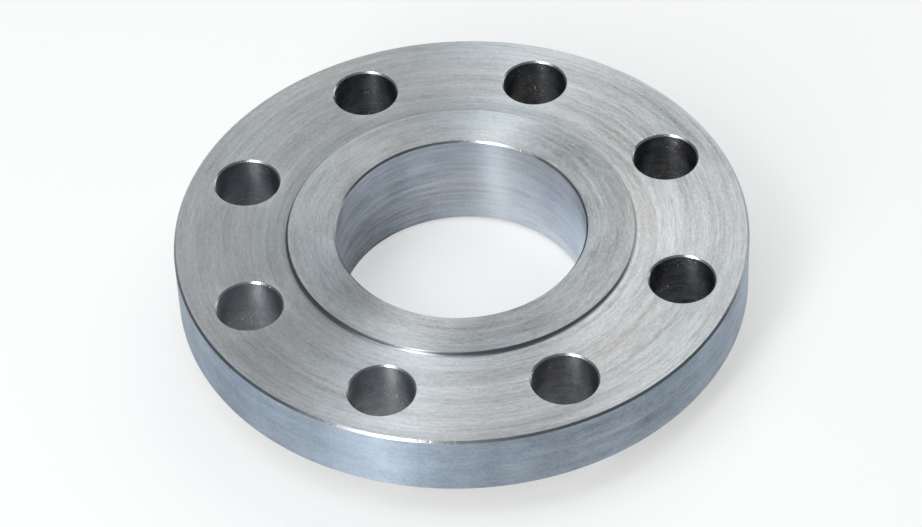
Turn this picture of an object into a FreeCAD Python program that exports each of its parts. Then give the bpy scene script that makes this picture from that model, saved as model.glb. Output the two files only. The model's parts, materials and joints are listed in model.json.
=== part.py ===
import FreeCAD, Part

import math
import os

# A slip-on pipe flange, forged and turned in one piece.
#
# It is a thick round plate with a short hub on its back. A pipe slips into the bore from the hub
# side and is welded to it. The gasket seats on the low raised face on the front, and bolts round
# that face clamp the flange to its mate.
#
# Frame: millimetres, Z along the bore and up. The flange stands on the end of its hub, at z = 0,
# with the raised face on top. X and Y pass midway between two bolt holes.

# Bore, sized to slip over a pipe of 88.9 mm outside diameter.
bore_diameter = 91.5

# Radial widths, from the bore outwards.
gasket_face_width = 17.75
land_inside_bolts = 8.85
bolt_hole_diameter = 23.6
land_outside_bolts = 9.05
hub_base_wall = 12.75
hub_end_wall = 11.25

# Heights, from the hub's end upwards.
hub_height = 12.2
rim_thickness = 27.0
raised_face_height = 1.6

# Bolt holes round the circle.
bolt_count = 8

# Edge breaks and fillets.
bore_hub_bevel = 1.8
bore_face_bevel = 0.5
hub_end_bevel = 1.5
hub_root_fillet = 4.0
rim_back_bevel = 3.2
rim_front_bevel = 0.8
face_root_fillet = 0.9
face_edge_bevel = 0.4
bolt_hole_bevel = 0.6

# Radii that follow from the widths.
bore_radius = bore_diameter / 2
bolt_hole_radius = bolt_hole_diameter / 2
face_radius = bore_radius + gasket_face_width
bolt_circle_radius = face_radius + land_inside_bolts + bolt_hole_radius
rim_radius = bolt_circle_radius + bolt_hole_radius + land_outside_bolts
hub_base_radius = bore_radius + hub_base_wall
hub_end_radius = bore_radius + hub_end_wall

# Levels that follow from the heights.
hub_end_level = 0.0
back_level = hub_end_level + hub_height
front_level = back_level + rim_thickness
face_level = front_level + raised_face_height

# How far the bolt hole's cutter runs past the plate, so that it cuts clean through.
cutter_overrun = 1.0

# The most of a wall that a fillet at its foot may take up.
fillet_share = 0.9

axis_point = FreeCAD.Vector(0, 0, 0)
axis_direction = FreeCAD.Vector(0, 0, 1)


def sharp(radius, level):
    """A corner of a turned outline that stays sharp."""
    return {"at": FreeCAD.Vector(radius, 0, level), "cut": 0.0, "round": False}


def bevelled(radius, level, leg):
    """A corner that is cut off, leg long on both of its sides."""
    return {"at": FreeCAD.Vector(radius, 0, level), "cut": leg, "round": False}


def rounded(radius, level, fillet):
    """A corner that is rounded with a fillet of that radius."""
    return {"at": FreeCAD.Vector(radius, 0, level), "cut": fillet, "round": True}


def toward(start, end):
    """The direction from one point to another."""
    return (end - start).normalize()


def corner_stretch(before, corner, after):
    """The first point, the last point and the edge, if any, that stand for a corner."""
    point = corner["at"]
    size = corner["cut"]
    if size == 0:
        return point, point, None
    back = toward(point, before["at"])
    ahead = toward(point, after["at"])
    half_angle = back.getAngle(ahead) / 2
    reach = size / math.tan(half_angle) if corner["round"] else size
    first = point + back * reach
    last = point + ahead * reach
    if not corner["round"]:
        return first, last, Part.LineSegment(first, last).toShape()
    bisector = (back + ahead).normalize()
    middle = point + bisector * (size / math.sin(half_angle) - size)
    return first, last, Part.Arc(first, middle, last).toShape()


def turned(corners):
    """A solid turned about Z from a closed outline of corners."""
    count = len(corners)
    stretches = []
    for index, corner in enumerate(corners):
        following = corners[(index + 1) % count]
        stretches.append(corner_stretch(corners[index - 1], corner, following))
    edges = []
    for index, (first, last, edge) in enumerate(stretches):
        if edge:
            edges.append(edge)
        next_first = stretches[(index + 1) % count][0]
        edges.append(Part.LineSegment(last, next_first).toShape())
    outline = Part.Face(Part.Wire(edges))
    return outline.revolve(axis_point, axis_direction, 360)


def flange_blank():
    """The turned body with its hub, rim, raised face and bore, before drilling."""
    hub_fillet = min(hub_root_fillet, fillet_share * (hub_height - hub_end_bevel))
    face_fillet = min(face_root_fillet, fillet_share * (raised_face_height - face_edge_bevel))
    return turned([
        bevelled(bore_radius, hub_end_level, bore_hub_bevel),
        bevelled(hub_end_radius, hub_end_level, hub_end_bevel),
        rounded(hub_base_radius, back_level, hub_fillet),
        bevelled(rim_radius, back_level, rim_back_bevel),
        bevelled(rim_radius, front_level, rim_front_bevel),
        rounded(face_radius, front_level, face_fillet),
        bevelled(face_radius, face_level, face_edge_bevel),
        bevelled(bore_radius, face_level, bore_face_bevel),
    ])


def bolt_hole_cutter():
    """What one drilled and countersunk bolt hole takes away, standing on the Z axis."""
    mouth_radius = bolt_hole_radius + bolt_hole_bevel + cutter_overrun
    return turned([
        sharp(0, back_level - cutter_overrun),
        sharp(mouth_radius, back_level - cutter_overrun),
        sharp(bolt_hole_radius, back_level + bolt_hole_bevel),
        sharp(bolt_hole_radius, front_level - bolt_hole_bevel),
        sharp(mouth_radius, front_level + cutter_overrun),
        sharp(0, front_level + cutter_overrun),
    ])


def drilled(blank):
    """The blank with its bolt holes, evenly spaced and astride the X and Y axes."""
    cutter = bolt_hole_cutter()
    cutter.translate(FreeCAD.Vector(bolt_circle_radius, 0, 0))
    spacing = 360 / bolt_count
    for hole in range(bolt_count):
        here = cutter.copy()
        here.rotate(axis_point, axis_direction, (hole + 0.5) * spacing)
        blank = blank.cut(here)
    return blank


os.makedirs("parts", exist_ok=True)

flange = drilled(flange_blank())
flange.exportStep("parts/flange.step")

print("flange diameter", round(2 * rim_radius, 2), "bolt circle", round(2 * bolt_circle_radius, 2))
print("raised face diameter", round(2 * face_radius, 2), "length through hub", round(face_level, 2))
print("volume in cubic centimetres", round(flange.Volume / 1000, 1), "valid", flange.isValid())
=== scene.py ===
# %% [markdown]
# # A turned steel flange
#
# The object is a slip-on pipe flange: one ring of steel, forged, turned on a lathe and drilled.
# Everything that gives it its look comes from how it was machined. Each surface was cut by its
# own tool, so each one gets its own finish, and the lines that a tool left run round the axis
# that it was turned about.
#
# The CAD model is loaded first. It is the frame: all sizes and places below come from it.

# %% Load the frame
import json
import math

import bpy
from mathutils import Matrix, Vector


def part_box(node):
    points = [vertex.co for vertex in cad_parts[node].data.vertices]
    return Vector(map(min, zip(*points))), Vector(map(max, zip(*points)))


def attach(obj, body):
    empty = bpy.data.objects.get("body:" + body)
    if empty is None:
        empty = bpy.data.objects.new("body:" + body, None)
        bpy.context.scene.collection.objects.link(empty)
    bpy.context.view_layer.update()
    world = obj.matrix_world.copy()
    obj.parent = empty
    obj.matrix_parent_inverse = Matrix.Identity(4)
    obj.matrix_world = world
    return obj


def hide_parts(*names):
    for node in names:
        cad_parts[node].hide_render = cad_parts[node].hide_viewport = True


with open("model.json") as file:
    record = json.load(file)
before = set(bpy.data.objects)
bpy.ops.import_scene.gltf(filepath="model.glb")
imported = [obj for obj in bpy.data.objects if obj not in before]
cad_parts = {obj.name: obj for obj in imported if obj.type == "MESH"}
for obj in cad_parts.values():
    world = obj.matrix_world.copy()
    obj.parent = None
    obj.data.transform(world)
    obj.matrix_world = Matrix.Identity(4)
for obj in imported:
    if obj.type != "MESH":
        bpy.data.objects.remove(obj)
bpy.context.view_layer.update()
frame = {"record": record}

# %% [markdown]
# ## Sizes
#
# The record of the CAD model states its interfaces in millimetres: the bore, the bolt holes and
# the flat faces. Radii and levels are read from there. What the record doesn't state, such as
# the edge breaks, is named here once. Blender works in metres.

# %% Sizes from the frame
MM = 0.001
mounts = {mount["name"]: mount for mount in frame["record"]["mounts"]}
_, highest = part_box("flange")

bore_radius = mounts["pipe_bore"]["dims"]["r_mm"] * MM
bolt_circle_radius = mounts["bolt_holes"]["dims"]["pcd_mm"] * MM / 2
bolt_hole_radius = mounts["bolt_holes"]["dims"]["hole_r_mm"] * MM
bolt_count = mounts["bolt_holes"]["dims"]["count"]
rim_radius = highest.x

hub_end_level = mounts["hub_end"]["pos_m"][2]
back_level = mounts["nut_face"]["pos_m"][2]
front_level = 2 * mounts["bolt_holes"]["pos_m"][2] - back_level
face_level = mounts["gasket_face"]["pos_m"][2]

raised_face_radius = 63.5 * MM
hub_base_radius = 58.5 * MM
hub_end_radius = 57.0 * MM

bore_hub_bevel = 1.8 * MM
bore_face_bevel = 0.7 * MM
hub_end_bevel = 1.5 * MM
hub_root_fillet = 4.0 * MM
rim_back_bevel = 3.2 * MM
rim_front_bevel = 0.8 * MM
face_root_fillet = 0.8 * MM
face_edge_round = 0.3 * MM
bolt_hole_bevel = 0.6 * MM

# A point this near to a corner is that corner, and one within a hair of a level lies on it.
near = 0.2 * MM
hair = 0.01 * MM
print("rim radius %.1f mm, face at %.1f mm" % (rim_radius / MM, face_level / MM))

# %% [markdown]
# ## The section
#
# A turned part is drawn as half of its section, and the section is spun round the axis. The
# section is cut as a turner would cut it. A rectangle stands for the blank. Straight cuts mark
# the hub, the raised face and the two sides of the plate. Then the corners that are air go.
#
# An outline drawn point by point would be shorter to write, but here every cut can be seen and
# moved by hand.

# %% Cut the section from a blank
def only(piece):
    """Make this the one selected and active object."""
    bpy.ops.object.select_all(action="DESELECT")
    piece.select_set(True)
    bpy.context.view_layer.objects.active = piece


def settle(piece):
    """Move the object's place, turn and size into its mesh."""
    only(piece)
    bpy.ops.object.transform_apply(location=True, rotation=True, scale=True)


def cut_across(point, direction):
    """Cut every face of the mesh in edit mode with a plane."""
    bpy.ops.mesh.select_all(action="SELECT")
    bpy.ops.mesh.bisect(plane_co=point, plane_no=direction)


def select_where(piece, kind, chosen):
    """In edit mode, select the vertices, edges or faces whose middle passes a test."""
    bpy.ops.mesh.select_mode(type=kind)
    bpy.ops.mesh.select_all(action="DESELECT")
    bpy.ops.object.mode_set(mode="OBJECT")
    mesh = piece.data
    places = [vertex.co for vertex in mesh.vertices]
    count = 0
    if kind == "VERT":
        items = [(vertex, vertex.co) for vertex in mesh.vertices]
    elif kind == "EDGE":
        items = [(e, (places[e.vertices[0]] + places[e.vertices[1]]) / 2) for e in mesh.edges]
    else:
        items = [(face, face.center) for face in mesh.polygons]
    for item, middle in items:
        item.select = chosen(middle)
        count += item.select
    bpy.ops.object.mode_set(mode="EDIT")
    return count


def select_corner(piece, radius, level):
    """In edit mode, select the vertex at one corner of the section."""
    corner = Vector((radius, 0, level))
    return select_where(piece, "VERT", lambda at: (at - corner).length < near)


bpy.ops.object.select_all(action="DESELECT")
bpy.ops.mesh.primitive_plane_add(size=1, rotation=(math.radians(90), 0, 0))
flange = bpy.context.object
flange.name = "turned_flange"
flange.scale = (rim_radius - bore_radius, face_level - hub_end_level, 1)
flange.location = ((rim_radius + bore_radius) / 2, 0, (face_level + hub_end_level) / 2)
settle(flange)

bpy.ops.object.mode_set(mode="EDIT")
for radius in (hub_base_radius, raised_face_radius):
    cut_across((radius, 0, 0), (1, 0, 0))
for level in (back_level, front_level):
    cut_across((0, 0, level), (0, 0, 1))


def is_air(middle):
    """Whether a patch of the blank lies beside the hub or beside the raised face."""
    beside_hub = middle.x > hub_base_radius and middle.z < back_level
    beside_face = middle.x > raised_face_radius and middle.z > front_level
    return beside_hub or beside_face


gone = select_where(flange, "FACE", is_air)
bpy.ops.mesh.delete(type="FACE")

bpy.ops.mesh.select_all(action="SELECT")
bpy.ops.mesh.dissolve_limited(angle_limit=math.radians(1))
select_corner(flange, hub_base_radius, hub_end_level)
bpy.ops.transform.translate(value=(hub_end_radius - hub_base_radius, 0, 0))
bpy.ops.object.mode_set(mode="OBJECT")
print("faces cut away:", gone, "corners left:", len(flange.data.vertices))

# %% [markdown]
# ## Corners and serrations
#
# No turned edge is left sharp. Each corner of the section is bevelled: with one straight step
# where the edge was broken with a tool, and with many small steps where the tool's round nose
# left a fillet.
#
# The gasket face is serrated: the tool leaves a fine groove in it so that the gasket grips.
# The grooves are real here, not only a bump. The line of the face is divided, and every other
# point is lowered.

# %% Break the corners
corners = [
    ("bore at the hub", bore_radius, hub_end_level, bore_hub_bevel, 1),
    ("hub end", hub_end_radius, hub_end_level, hub_end_bevel, 1),
    ("hub root", hub_base_radius, back_level, hub_root_fillet, 10),
    ("rim back", rim_radius, back_level, rim_back_bevel, 1),
    ("rim front", rim_radius, front_level, rim_front_bevel, 1),
    ("raised face root", raised_face_radius, front_level, face_root_fillet, 5),
    ("raised face edge", raised_face_radius, face_level, face_edge_round, 3),
    ("bore at the face", bore_radius, face_level, bore_face_bevel, 1),
]

bpy.ops.object.mode_set(mode="EDIT")
for name, radius, level, size, steps in corners:
    found = select_corner(flange, radius, level)
    bpy.ops.mesh.bevel(offset_type="OFFSET", offset=size, segments=steps, affect="VERTICES")
    print(name, "found", found)
bpy.ops.object.mode_set(mode="OBJECT")

# %% Serrate the gasket face
serration_pitch = 0.5 * MM
serration_depth = 0.025 * MM
serrated_inside = bore_radius + bore_face_bevel
serrated_outside = raised_face_radius - face_edge_round
groove_count = round((serrated_outside - serrated_inside) / serration_pitch)
half_pitch = (serrated_outside - serrated_inside) / (2 * groove_count)

bpy.ops.object.mode_set(mode="EDIT")
select_where(flange, "EDGE", lambda middle: middle.z > face_level - hair)
bpy.ops.mesh.subdivide(number_cuts=2 * groove_count - 1)


def is_groove(at):
    """Whether a point of the gasket face is the bottom of a groove."""
    number = round((at.x - serrated_inside) / half_pitch)
    return at.z > face_level - hair and number % 2 == 1


grooves = select_where(flange, "VERT", is_groove)
bpy.ops.transform.translate(value=(0, 0, -serration_depth))
bpy.ops.object.mode_set(mode="OBJECT")
print("grooves in the gasket face:", grooves)

# %% [markdown]
# ## Turning
#
# The spin in edit mode turns the section, as one would do it by hand. A Screw modifier could do
# the same. Only the section's outline is spun. The face inside it would leave a wall across the
# ring where the spin ends, so it is deleted first. The spin's last ring lies on its first, and
# merging the doubles closes the solid.

# %% Spin the section
ring_steps = 384
merge_distance = 0.001 * MM

bpy.ops.object.mode_set(mode="EDIT")
bpy.ops.mesh.select_all(action="SELECT")
bpy.ops.mesh.delete(type="ONLY_FACE")
bpy.ops.mesh.select_all(action="SELECT")
bpy.ops.mesh.spin(steps=ring_steps, angle=2 * math.pi, center=(0, 0, 0), axis=(0, 0, 1))
bpy.ops.mesh.select_all(action="SELECT")
bpy.ops.mesh.remove_doubles(threshold=merge_distance)
bpy.ops.mesh.normals_make_consistent(inside=False)
bpy.ops.object.mode_set(mode="OBJECT")
print("turned ring:", len(flange.data.polygons), "faces")

# %% [markdown]
# ## Drilling
#
# One cutter is modelled as the material that a drill and a countersink take away: a cylinder
# whose two ends flare out. It is copied round the bolt circle, and the copies are cut from the
# ring with one Boolean. Eight Booleans in a row would leave the same holes, but each of them
# would have to work through the whole ring again. The bolt holes stand astride the X and Y axes.

# %% Make one cutter
overrun = 1.0 * MM
cutter_sides = 96
straight_depth = front_level - back_level - 2 * bolt_hole_bevel
plate_middle = Vector((bolt_circle_radius, 0, (front_level + back_level) / 2))
flare = bolt_hole_bevel + overrun

bpy.ops.object.select_all(action="DESELECT")
bpy.ops.mesh.primitive_cylinder_add(
    vertices=cutter_sides, radius=bolt_hole_radius, depth=straight_depth, location=plate_middle)
cutter = bpy.context.object
cutter.name = "bolt_hole_cutter"
settle(cutter)

bpy.ops.object.mode_set(mode="EDIT")
for way in (1, -1):
    end = plate_middle.z + way * straight_depth / 2
    select_where(cutter, "FACE", lambda middle: abs(middle.z - end) < hair)
    bpy.ops.mesh.extrude_region_move(TRANSFORM_OT_translate={"value": (0, 0, way * flare)})
    widening = (bolt_hole_radius + flare) / bolt_hole_radius
    bpy.ops.transform.resize(value=(widening, widening, 1), center_override=plate_middle)
bpy.ops.object.mode_set(mode="OBJECT")
print("cutter:", len(cutter.data.polygons), "faces")

# %% Copy it round the bolt circle and drill
spacing = 2 * math.pi / bolt_count
cutters = []
for hole in range(bolt_count):
    only(cutter)
    bpy.ops.object.duplicate()
    copy = bpy.context.object
    copy.matrix_world = Matrix.Rotation((hole + 0.5) * spacing, 4, "Z")
    settle(copy)
    cutters.append(copy)

only(cutter)
bpy.ops.object.delete()
only(cutters[0])
for copy in cutters:
    copy.select_set(True)
bpy.ops.object.join()
drills = bpy.context.object

only(flange)
bpy.ops.object.modifier_add(type="BOOLEAN")
drilling = flange.modifiers[-1]
drilling.operation = "DIFFERENCE"
drilling.object = drills
drilling.solver = "EXACT"
bpy.ops.object.modifier_apply(modifier=drilling.name)
only(drills)
bpy.ops.object.delete()

smooth_below = math.radians(25)
only(flange)
bpy.ops.object.shade_smooth_by_angle(angle=smooth_below)
print("drilled flange:", len(flange.data.polygons), "faces")

# %% [markdown]
# ## How bare machined steel is built up
#
# The steel is not painted, so all its looks come from two things: what it reflects, and how the
# tool marks spread that reflection. Grooves that run round the axis spread a light across
# themselves and hardly along themselves. That is why a turned face shows a bright spoke, not a
# round spot. The Principled shader calls this anisotropy. Its tangent here points across the
# grooves: outwards on a flat face, upwards on a wall.
#
# The colour can't be flat either. Five layers of noise lie on top of each other, from wide
# clouds down to grain. All of them are laid out in the same three numbers: the two parts of the
# unit arrow that points away from the axis, and the radius or height. Noise that changes slowly
# in the first two and fast in the third comes out as streaks that run round the axis and have no
# seam. A picture of brushed steel would be quicker to lay on, but its lines would run straight
# and show where it ends.
#
# A small class keeps the nodes of one finish together, so that each finish reads as a recipe.

# %% Node helpers
class Finish:
    """A bare metal material, whose methods each add one node and hand on its output."""

    def __init__(self, name):
        self.material = bpy.data.materials.new(name)
        self.material.use_nodes = True
        self.tree = self.material.node_tree
        self.shader = self.tree.nodes["Principled BSDF"]
        self.shader.inputs["Metallic"].default_value = 1.0
        self.place = self.node("ShaderNodeTexCoord").outputs["Object"]

    def node(self, kind, **settings):
        made = self.tree.nodes.new(kind)
        for name, value in settings.items():
            setattr(made, name, value)
        return made

    def feed(self, socket, value):
        """Link an output to a socket, or set the socket to a number, vector or colour."""
        if isinstance(value, bpy.types.NodeSocket):
            self.tree.links.new(value, socket)
        else:
            socket.default_value = value

    def maths(self, operation, *values):
        made = self.node("ShaderNodeMath", operation=operation)
        for socket, value in zip(made.inputs, values):
            self.feed(socket, value)
        return made.outputs[0]

    def vectors(self, operation, *values):
        made = self.node("ShaderNodeVectorMath", operation=operation)
        for socket, value in zip(made.inputs, values):
            self.feed(socket, value)
        return made.outputs["Value" if operation in ("LENGTH", "DOT_PRODUCT") else "Vector"]

    def combine(self, x, y, z):
        made = self.node("ShaderNodeCombineXYZ")
        for socket, value in zip(made.inputs, (x, y, z)):
            self.feed(socket, value)
        return made.outputs[0]

    def split(self, vector):
        made = self.node("ShaderNodeSeparateXYZ")
        self.feed(made.inputs[0], vector)
        return made.outputs[0], made.outputs[1], made.outputs[2]

    def noise(self, place, stretch, detail=2.0):
        made = self.node("ShaderNodeTexNoise")
        self.feed(made.inputs["Vector"], self.vectors("MULTIPLY", place, stretch))
        made.inputs["Scale"].default_value = 1.0
        made.inputs["Detail"].default_value = detail
        return made.outputs["Fac"]

    def remap(self, value, low, high, to_low, to_high):
        """Carry a value from one range to another, and keep it inside."""
        made = self.node("ShaderNodeMapRange")
        self.feed(made.inputs["Value"], value)
        limits = {"From Min": low, "From Max": high, "To Min": to_low, "To Max": to_high}
        for name, number in limits.items():
            made.inputs[name].default_value = number
        return made.outputs["Result"]

    def mixed(self, share, first, second):
        """A colour between two colours."""
        made = self.node("ShaderNodeMix", data_type="RGBA")
        self.feed(made.inputs["Factor"], share)
        self.feed(made.inputs["A"], first)
        self.feed(made.inputs["B"], second)
        return made.outputs["Result"]

    def relieve(self, depth, height):
        """A bump of that depth, laid on top of any bump that the shader has already."""
        made = self.node("ShaderNodeBump")
        made.inputs["Distance"].default_value = depth
        self.feed(made.inputs["Height"], height)
        normal = self.shader.inputs["Normal"]
        if normal.is_linked:
            self.feed(made.inputs["Normal"], normal.links[0].from_socket)
        self.feed(normal, made.outputs[0])

    def spread(self, tangent, anisotropy):
        """Spread every reflection along the tangent."""
        self.feed(self.shader.inputs["Tangent"], tangent)
        self.shader.inputs["Anisotropic"].default_value = anisotropy


UPWARDS = (0.0, 0.0, 1.0)
print("finish helpers ready")

# %% [markdown]
# ## Tool marks
#
# The marks come in layers. Clouds are uneven reflections as wide as a finger. Mottling is what
# handling and washing leave. Sweeps are long lines, from where the tool chattered or the feed
# changed. Strokes are single short lines, and the deepest of them show as dark scratches. Grain
# is the steel itself.
#
# A finish is then a recipe: for each layer how many waves fit round the unit circle, how many
# fit in a metre across the grooves, and how much brighter or darker a usual wave makes the
# steel. The rare highest waves do twice as much. The same lines also change the gloss and the
# relief, because a groove that looks dark does so by being rough and deep. Each finish has two
# tones, one bluer than the other, and drifts slowly between them.
#
# Noise runs from 0 to 1, but it hardly leaves the stretch round a half. So the marks read it
# between narrower limits: nearly all of it for brightness, its busy middle for gloss and tone,
# and its peaks for scratches.

# %% Add the marks of a tool
NEARLY_ALL = (0.25, 0.75)
BUSY_MIDDLE = (0.35, 0.65)
SCRATCH_PEAKS = (0.60, 0.70)
SCRATCH_DARKENING = 0.10
TONE_WAVES = (1.2, 1.2, 40.0)


def add_marks(finish, away, travel, layers, tones, roughness, roughness_swing, relief, brightness):
    """Give a finish its colour, roughness and relief from layers of marks round an axis.

    away is the unit arrow from the axis, and travel the radius or height that the tool fed along.
    """
    away_x, away_y, _ = finish.split(away)
    place = finish.combine(away_x, away_y, travel)
    patterns = {}
    for kind, (round_waves, travel_waves, strength) in layers.items():
        patterns[kind] = finish.noise(place, (round_waves, round_waves, travel_waves))
        share = finish.remap(patterns[kind], *NEARLY_ALL, -2 * strength, 2 * strength)
        brightness = finish.maths("ADD", brightness, share)
    scratches = finish.remap(patterns["stroke"], *SCRATCH_PEAKS, 0.0, -SCRATCH_DARKENING)
    brightness = finish.maths("ADD", brightness, scratches)

    drift = finish.remap(finish.noise(place, TONE_WAVES), *BUSY_MIDDLE, 0.0, 1.0)
    steel = finish.mixed(drift, (*tones[0], 1), (*tones[1], 1))
    shaded = finish.node("ShaderNodeVectorMath", operation="SCALE")
    finish.feed(shaded.inputs[0], steel)
    finish.feed(shaded.inputs["Scale"], brightness)
    finish.feed(finish.shader.inputs["Base Color"], shaded.outputs[0])

    lines = finish.maths("MULTIPLY", finish.maths("ADD", patterns["sweep"], patterns["stroke"]), 0.5)
    roughest = roughness + roughness_swing
    smoothest = roughness - roughness_swing
    finish.feed(finish.shader.inputs["Roughness"], finish.remap(lines, *BUSY_MIDDLE, roughest, smoothest))
    finish.relieve(relief, lines)
    return shaded.outputs[0]


print("marks are read from noise between", NEARLY_ALL)

# %% [markdown]
# ## Turned surfaces
#
# The plate, the gasket face, the bore, the rim, the hub and the back were all cut while the
# flange spun, so one recipe serves them all. They differ in how coarse the tool was, in which
# way is across the grooves, and in tone. The walls are given bluer tones than the faces.
#
# Light and shade are also painted into the colour of the bore, the gasket face, the rim and the
# plate: each is painted paler on one side, and as much darker on the other. The bore is painted
# darker on its left side, most of all low down, and paler on its right. The gasket face is
# painted paler at the back, a little to the left, the rim on its left side, and on the plate it
# hardly differs. All this could be painted on by hand, but one slow change across the ring gives
# it in a single number.

# %% Turned finish
TURNED_ROUGHNESS_SWING = 0.04
TURNED_RELIEF = 0.01 * MM


def turned_finish(name, across, layers, tones, roughness, anisotropy, painted_light_side=(0, 0, 0),
                  painted_light_amount=(0.0, 0.0)):
    """Bare steel with tool marks round the bore's axis. across is radius or height.

    The painted light side points to where light is painted onto the steel, and the amount is how
    much paler it is painted there, low down and high up. The far side is painted darker by as much, as
    painted shade.
    """
    finish = Finish(name)
    x, y, z = finish.split(finish.place)
    flat = finish.combine(x, y, 0.0)
    away = finish.vectors("NORMALIZE", flat)
    travel = finish.vectors("LENGTH", flat) if across == "radius" else z
    # Painted light and shade: the steel is painted paler on one side and as much darker on the other.
    strength = finish.remap(z, hub_end_level, face_level, *painted_light_amount)
    painted_light_and_shade = finish.maths("MULTIPLY", finish.vectors("DOT_PRODUCT", away, painted_light_side), strength)
    brightness = finish.maths("ADD", painted_light_and_shade, 1.0)
    add_marks(finish, away, travel, layers, tones, roughness, TURNED_ROUGHNESS_SWING, TURNED_RELIEF,
              brightness)
    finish.spread(away if across == "radius" else finish.combine(*UPWARDS), anisotropy)
    return finish.material


plate_layers = {
    "cloud": (1.6, 35.0, 0.05),
    "mottle": (1.5, 160.0, 0.06),
    "sweep": (1.2, 700.0, 0.05),
    "stroke": (14.0, 1400.0, 0.06),
    "grain": (60.0, 2300.0, 0.07),
}
gasket_layers = {
    "cloud": (2.0, 40.0, 0.07),
    "mottle": (1.8, 160.0, 0.07),
    "sweep": (1.5, 700.0, 0.05),
    "stroke": (10.0, 1400.0, 0.06),
    "grain": (36.0, 2400.0, 0.08),
}
bore_layers = {
    "cloud": (2.0, 30.0, 0.08),
    "mottle": (1.5, 140.0, 0.03),
    "sweep": (0.9, 550.0, 0.07),
    "stroke": (6.0, 1200.0, 0.05),
    "grain": (45.0, 1700.0, 0.05),
}
rim_layers = {
    "cloud": (7.0, 25.0, 0.05),
    "mottle": (6.0, 130.0, 0.05),
    "sweep": (3.0, 400.0, 0.04),
    "stroke": (25.0, 900.0, 0.04),
    "grain": (90.0, 1600.0, 0.07),
}

PLATE_TONES = ((0.47, 0.51, 0.535), (0.505, 0.51, 0.525))
GASKET_TONES = ((0.42, 0.46, 0.485), (0.45, 0.465, 0.48))
BORE_TONES = ((0.405, 0.455, 0.53), (0.44, 0.475, 0.52))
RIM_TONES = ((0.345, 0.415, 0.505), (0.37, 0.425, 0.495))

# In each call, the last two settings say where light is painted on and how much, with as much painted
# shade opposite.
turned = {
    "plate": turned_finish(
        "plate_face", "radius", plate_layers, PLATE_TONES, roughness=0.38, anisotropy=0.85,
        painted_light_side=(0, -1, 0), painted_light_amount=(0.02, 0.02)),
    "gasket": turned_finish(
        "gasket_face", "radius", gasket_layers, GASKET_TONES, roughness=0.38, anisotropy=0.90,
        painted_light_side=(-0.45, 0.9, 0), painted_light_amount=(0.09, 0.09)),
    "bore": turned_finish(
        "bored_wall", "height", bore_layers, BORE_TONES, roughness=0.34, anisotropy=0.90,
        painted_light_side=(1, 0, 0), painted_light_amount=(0.80, 0.12)),
    "rim": turned_finish(
        "rim_side", "height", rim_layers, RIM_TONES, roughness=0.46, anisotropy=0.86,
        painted_light_side=(-1, 0, 0), painted_light_amount=(0.12, 0.12)),
    "back": turned_finish(
        "back_face", "radius", plate_layers, PLATE_TONES, roughness=0.42, anisotropy=0.75),
    "hub": turned_finish(
        "hub_side", "height", rim_layers, PLATE_TONES, roughness=0.42, anisotropy=0.75),
}
print("turned finishes:", sorted(turned))

# %% [markdown]
# ## Drilled walls
#
# A drill tears more than a lathe tool, and its wall is rougher. Its tone is far darker than the
# rest: painted shade, for the shade inside the holes. Its marks run round the hole's own axis.
# All eight holes share one mesh and one material, so the nodes first find the nearest hole: the
# angle round the flange is rounded to the middle of its eighth, and the place is then measured
# from there. The number of the eighth also shifts the pattern, so that no two holes match. The
# holes at the front left are painted lighter than the others, and those at the back darker:
# painted light and shade.
# The wall isn't quite straight either: the drill wandered and left it wavy, which tears the
# sheen into patches. A few chips were rubbed bright. They are the peaks of a fine noise, and a
# coarser noise lets them through only here and there, so that they gather in swarms. Eight
# materials would be easier to read, but then a change would have to be made eight times.

# %% Drilled finish
DRILLED_ROUGHNESS_SWING = 0.08
DRILLED_RELIEF = 0.03 * MM
SHIFT_PER_HOLE = 0.37
PAINTED_LIGHT_HOLES_SIDE = (-0.71, -0.71, 0.0)
PAINTED_LIGHT_STARTS = -0.2 * bolt_circle_radius
DARKEST_PAINTED_HOLE = 0.72
LIGHTEST_PAINTED_HOLE = 2.4
WAVY_DEPTH = 0.3 * MM
WAVY_WAVES = (220.0, 220.0, 140.0)
CHIP_WAVES = (1500.0, 1500.0, 1500.0)
CHIP_PEAKS = (0.67, 0.74)
CHIP_TONE = (0.8, 0.8, 0.8, 1)
SWARM_WAVES = (130.0, 130.0, 130.0)
SWARM_PEAKS = (0.47, 0.60)


def from_nearest_hole(finish):
    """The place across the nearest bolt hole's axis, the height, and that hole's number."""
    x, y, z = finish.split(finish.place)
    turn = finish.maths("DIVIDE", finish.maths("ARCTAN2", y, x), spacing)
    number = finish.maths("FLOOR", turn)
    angle = finish.maths("MULTIPLY", finish.maths("ADD", number, 0.5), spacing)
    middle_x = finish.maths("MULTIPLY", finish.maths("COSINE", angle), bolt_circle_radius)
    middle_y = finish.maths("MULTIPLY", finish.maths("SINE", angle), bolt_circle_radius)
    from_x = finish.maths("SUBTRACT", x, middle_x)
    from_y = finish.maths("SUBTRACT", y, middle_y)
    return finish.combine(from_x, from_y, 0.0), z, number


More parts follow.
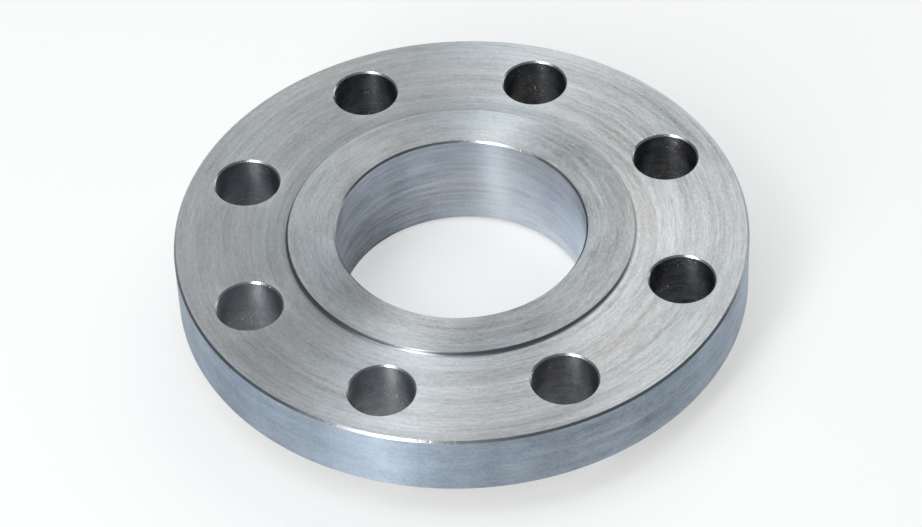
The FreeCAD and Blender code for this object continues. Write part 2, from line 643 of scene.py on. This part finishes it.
def drilled_finish(name, layers, tones, roughness, anisotropy):
    """Torn steel with painted shade and light, and marks round each bolt hole's own axis."""
    finish = Finish(name)
    flat, height, number = from_nearest_hole(finish)
    away = finish.vectors("NORMALIZE", flat)
    travel = finish.maths("ADD", height, finish.maths("MULTIPLY", number, SHIFT_PER_HOLE))
    # Painted light and shade: the holes at the front left are painted lighter, those at the back darker.
    reach = finish.vectors("DOT_PRODUCT", finish.place, PAINTED_LIGHT_HOLES_SIDE)
    painted_light_and_shade = finish.remap(reach, PAINTED_LIGHT_STARTS, bolt_circle_radius, DARKEST_PAINTED_HOLE, LIGHTEST_PAINTED_HOLE)
    plain = add_marks(finish, away, travel, layers, tones, roughness, DRILLED_ROUGHNESS_SWING,
                      DRILLED_RELIEF, painted_light_and_shade)
    finish.spread(finish.combine(*UPWARDS), anisotropy)
    finish.relieve(WAVY_DEPTH, finish.noise(finish.place, WAVY_WAVES))

    chips = finish.remap(finish.noise(finish.place, CHIP_WAVES, detail=1.0), *CHIP_PEAKS, 0.0, 1.0)
    swarm = finish.remap(finish.noise(finish.place, SWARM_WAVES), *SWARM_PEAKS, 0.0, 1.0)
    bright = finish.maths("MULTIPLY", chips, swarm)
    finish.feed(finish.shader.inputs["Base Color"], finish.mixed(bright, plain, CHIP_TONE))
    return finish.material


drilled_layers = {
    "cloud": (1.6, 80.0, 0.12),
    "mottle": (2.5, 240.0, 0.09),
    "sweep": (0.8, 750.0, 0.05),
    "stroke": (3.5, 1400.0, 0.06),
    "grain": (14.0, 2000.0, 0.07),
}
# The hole tones are kept dark as painted shade for the inside of the holes.
HOLE_TONES_PAINTED_DARK = ((0.125, 0.135, 0.15), (0.14, 0.14, 0.145))
drilled = {
    "hole": drilled_finish(
        "drilled_wall", drilled_layers, HOLE_TONES_PAINTED_DARK, roughness=0.50, anisotropy=0.84),
}
print("drilled finish:", sorted(drilled))

# %% [markdown]
# ## Broken edges
#
# The edge breaks were made with one quick touch of the tool, so they are smoother than the
# faces and act as a mirror: black where they face the dark room, and white where they face a
# lamp. The mouths of the bolt holes are given a brighter tone, as painted light. The step of the
# raised face is rougher, because the tool hardly reached into its corner, and its tone is a
# little darker, as painted shade. The tool's lines run round it as they do round the walls, so
# it shows a lamp as one short gleam.
#
# A few nicks break the lines up. They could be painted as dark spots, but they are pits in the
# relief here, so they glint too.

# %% Edge finish
EDGE_TONE_WAVES = (90.0, 90.0, 90.0)
EDGE_SMOOTHER = 0.03
EDGE_ROUGHER = 0.05
NICK_PEAKS = (0.60, 0.75)


def edge_finish(name, tones, roughness, nick_size, nick_depth, anisotropy=0.0):
    """Smooth steel with a few nicks. Anisotropy stretches a gleam up and down, across the cut."""
    finish = Finish(name)
    drift = finish.noise(finish.place, EDGE_TONE_WAVES)
    finish.feed(finish.shader.inputs["Base Color"], finish.mixed(drift, (*tones[0], 1), (*tones[1], 1)))
    gloss = finish.remap(drift, *BUSY_MIDDLE, roughness - EDGE_SMOOTHER, roughness + EDGE_ROUGHER)
    finish.feed(finish.shader.inputs["Roughness"], gloss)
    waves = (1 / nick_size, 1 / nick_size, 1 / nick_size)
    pits = finish.remap(finish.noise(finish.place, waves), *NICK_PEAKS, 0.0, -1.0)
    finish.relieve(nick_depth, pits)
    if anisotropy:
        finish.spread(finish.combine(*UPWARDS), anisotropy)
    return finish.material


EDGE_TONES = ((0.34, 0.365, 0.40), (0.37, 0.38, 0.405))
# The mouth's tones are brighter than the edge's, as painted light.
MOUTH_TONES_PAINTED_LIGHT = ((0.46, 0.49, 0.53), (0.51, 0.52, 0.54))
# The step's tones are a little darker than the edge's, as painted shade.
STEP_TONES_PAINTED_SHADE = ((0.30, 0.31, 0.325), (0.33, 0.335, 0.345))
broken = {
    "edge": edge_finish(
        "broken_edge", EDGE_TONES, roughness=0.26, nick_size=1.8 * MM, nick_depth=0.03 * MM),
    "mouth": edge_finish(
        "hole_mouth", MOUTH_TONES_PAINTED_LIGHT, roughness=0.25, nick_size=1.4 * MM, nick_depth=0.05 * MM),
    "step": edge_finish(
        "face_step", STEP_TONES_PAINTED_SHADE, roughness=0.34, nick_size=2.5 * MM, nick_depth=0.02 * MM,
        anisotropy=0.92),
}
finishes = {**turned, **drilled, **broken}
print("edge finishes:", sorted(broken))

# %% [markdown]
# ## Which face is which
#
# The ring and its holes are one mesh, so each face is asked where it lies and which way it
# looks. That is enough to tell the surfaces apart, because each was cut at its own radius or
# level. They could be picked by hand, but a rule still holds when a size changes. Every surface
# gets one material slot.

# %% Give each surface its finish
skin = 0.1 * MM
wall_tilt = 0.3
level_tilt = 0.9


def hole_distance(middle):
    """How far a point lies from the axis of the nearest bolt hole."""
    turn = math.atan2(middle.y, middle.x) / spacing
    angle = (math.floor(turn) + 0.5) * spacing
    return math.hypot(middle.x - bolt_circle_radius * math.cos(angle),
                      middle.y - bolt_circle_radius * math.sin(angle))


def is_step(radius, level):
    """Whether a face belongs to the edge, the side or the foot of the raised face."""
    beside_face = serrated_outside < radius < raised_face_radius + face_root_fillet
    return beside_face and level > front_level + hair


def surface_of(face):
    """The name of the surface that a face of the flange belongs to."""
    middle, normal = face.center, face.normal
    radius = math.hypot(middle.x, middle.y)
    upright = abs(normal.z) < wall_tilt
    if hole_distance(middle) < bolt_hole_radius + bolt_hole_bevel:
        if upright:
            return "hole"
        if abs(normal.z) < level_tilt:
            return "mouth"
    if radius < bore_radius + skin and upright:
        return "bore"
    if radius > rim_radius - skin and upright:
        return "rim"
    if is_step(radius, middle.z):
        return "step"
    if normal.z > level_tilt:
        return "gasket" if radius < raised_face_radius else "plate"
    if normal.z < -level_tilt:
        return "back"
    if middle.z < back_level and radius < hub_base_radius + hub_root_fillet:
        return "hub"
    return "edge"


slots = list(finishes)
flange.data.materials.clear()
for name in slots:
    flange.data.materials.append(finishes[name])
tally = dict.fromkeys(slots, 0)
for face in flange.data.polygons:
    name = surface_of(face)
    face.material_index = slots.index(name)
    tally[name] += 1
print("faces by surface:", tally)

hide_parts("flange")
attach(flange, "root")

# %% [markdown]
# ## Floor
#
# The flange stands on a plain pale table. The table has to show as clean white in the picture
# and still carry the soft shadow of the flange. It could be lit until it is white, but then the
# steel would be far too bright. Instead its paint is a mix of a matt white and a faint glow,
# and the glow is there only for what looks at it: the camera, and the steel that mirrors it.

# %% Floor
floor_width = 8
FLOOR_WHITE = (0.96, 0.96, 0.96, 1)
GLOW_SHARE = 0.45

bpy.ops.object.select_all(action="DESELECT")
bpy.ops.mesh.primitive_plane_add(size=floor_width, location=(0, 0, 0))
floor = bpy.context.object
floor.name = "floor"

paint = Finish("pale_floor")
paint.tree.nodes.remove(paint.shader)
matt = paint.node("ShaderNodeBsdfDiffuse")
matt.inputs["Color"].default_value = FLOOR_WHITE
glow = paint.node("ShaderNodeEmission")
rays = paint.node("ShaderNodeLightPath").outputs
looked_at = paint.maths("MAXIMUM", rays["Is Camera Ray"], rays["Is Glossy Ray"])
looked_at = paint.maths("MAXIMUM", looked_at, rays["Is Transmission Ray"])
mix = paint.node("ShaderNodeMixShader")
paint.feed(mix.inputs["Fac"], paint.maths("MULTIPLY", looked_at, GLOW_SHARE))
paint.feed(mix.inputs[1], matt.outputs[0])
paint.feed(mix.inputs[2], glow.outputs[0])
paint.feed(paint.tree.nodes["Material Output"].inputs["Surface"], mix.outputs[0])
floor.data.materials.append(paint.material)
print("floor", floor.dimensions.x, "metres wide")

# %% [markdown]
# ## Light
#
# Turned steel shows its lamps more than its own colour, so the lamps are what sets the mood.
# There are four softboxes and a dim room. The key is small and stands low on the left, in
# front: it makes the narrow bright spokes on the faces, the sheen in the bore and on the rim,
# and the white lines on the broken edges. The one behind, on the right, is what the flat faces
# mirror, so the steel is pale on the right and darker on the left. The one high on the left
# fills the near side and lights the table. The last stands low behind, on the right, and shows
# in the left edges of the holes and of the bore. The front stays dark, and that is why the other
# stretches of the edges look black.
#
# The helper takes the brightness of a lamp's face, where 1 is white, and works out the power
# from its area. So a lamp can be moved or resized and still looks equally bright in the steel.

# %% Lights
ROOM_COLOUR = (0.85, 0.92, 1.0, 1)
ROOM_LEVEL = 0.20


def softbox(name, direction, distance, width, height, level, colour):
    """A rectangular lamp that faces the flange. Level is how bright its face is, 1 being white."""
    bpy.ops.object.select_all(action="DESELECT")
    bpy.ops.object.light_add(type="AREA")
    lamp = bpy.context.object
    lamp.name = name
    away = Vector(direction).normalized()
    lamp.location = away * distance + Vector((0, 0, front_level))
    lamp.rotation_euler = away.to_track_quat("Z", "Y").to_euler()
    lamp.data.shape = "RECTANGLE"
    lamp.data.size = width
    lamp.data.size_y = height
    lamp.data.energy = level * math.pi * width * height
    lamp.data.color = colour
    lamp.visible_camera = False
    print(name, "gives", round(lamp.data.energy, 1), "watts")


softbox("key", (-0.46, -0.74, 0.49), distance=1.6, width=0.34, height=1.15, level=11.4,
        colour=(1.0, 0.98, 0.945))
softbox("back_right", (0.37, 0.55, 0.75), distance=1.6, width=1.5, height=1.4, level=1.48,
        colour=(1.0, 0.98, 0.94))
softbox("high_left", (-0.34, -0.20, 0.92), distance=1.6, width=0.8, height=1.3, level=3.4,
        colour=(0.93, 0.985, 1.0))
softbox("low_right", (0.72, 0.66, 0.19), distance=2.0, width=1.6, height=0.6, level=1.2,
        colour=(1.0, 0.98, 0.95))

world = bpy.data.worlds.new("dim_room")
bpy.context.scene.world = world
world.use_nodes = True
room = world.node_tree.nodes["Background"]
room.inputs["Color"].default_value = ROOM_COLOUR
room.inputs["Strength"].default_value = ROOM_LEVEL
bpy.context.scene.view_settings.view_transform = "Standard"

# %% [markdown]
# ## Camera
#
# The camera looks down at the flange from in front, a little under half way up, through a long
# lens from well over a metre away. It is turned slightly about its own axis. It could be set by
# eye, but the ovals of the rim, the bore and the bolt holes in the photograph fix it much more
# closely, and these values were worked out from them. The picture is 922 pixels wide, and the
# focal length is given in those pixels.

# %% Camera
camera_azimuth = math.radians(-1.24)
camera_elevation = math.radians(44.19)
camera_distance = 1.3331
camera_roll = math.radians(-2.71)
aim_point = Vector((-0.98 * MM, -17.33 * MM, front_level))
picture_width = 922
focal_length_px = 3653.0
sensor_width_mm = 36.0

away = Vector((
    math.sin(camera_azimuth) * math.cos(camera_elevation),
    -math.cos(camera_azimuth) * math.cos(camera_elevation),
    math.sin(camera_elevation)))
bpy.ops.object.camera_add(location=away * camera_distance + Vector((0, 0, front_level)))
camera = bpy.context.object
camera.name = "camera"
look = (camera.location - aim_point).to_track_quat("Z", "Y").to_matrix()
camera.rotation_euler = (look @ Matrix.Rotation(camera_roll, 3, "Z")).to_euler()
camera.data.sensor_width = sensor_width_mm
camera.data.lens = focal_length_px / picture_width * sensor_width_mm
bpy.context.scene.camera = camera
print("camera with a lens of %.0f mm, %.2f m away" % (camera.data.lens, camera_distance))
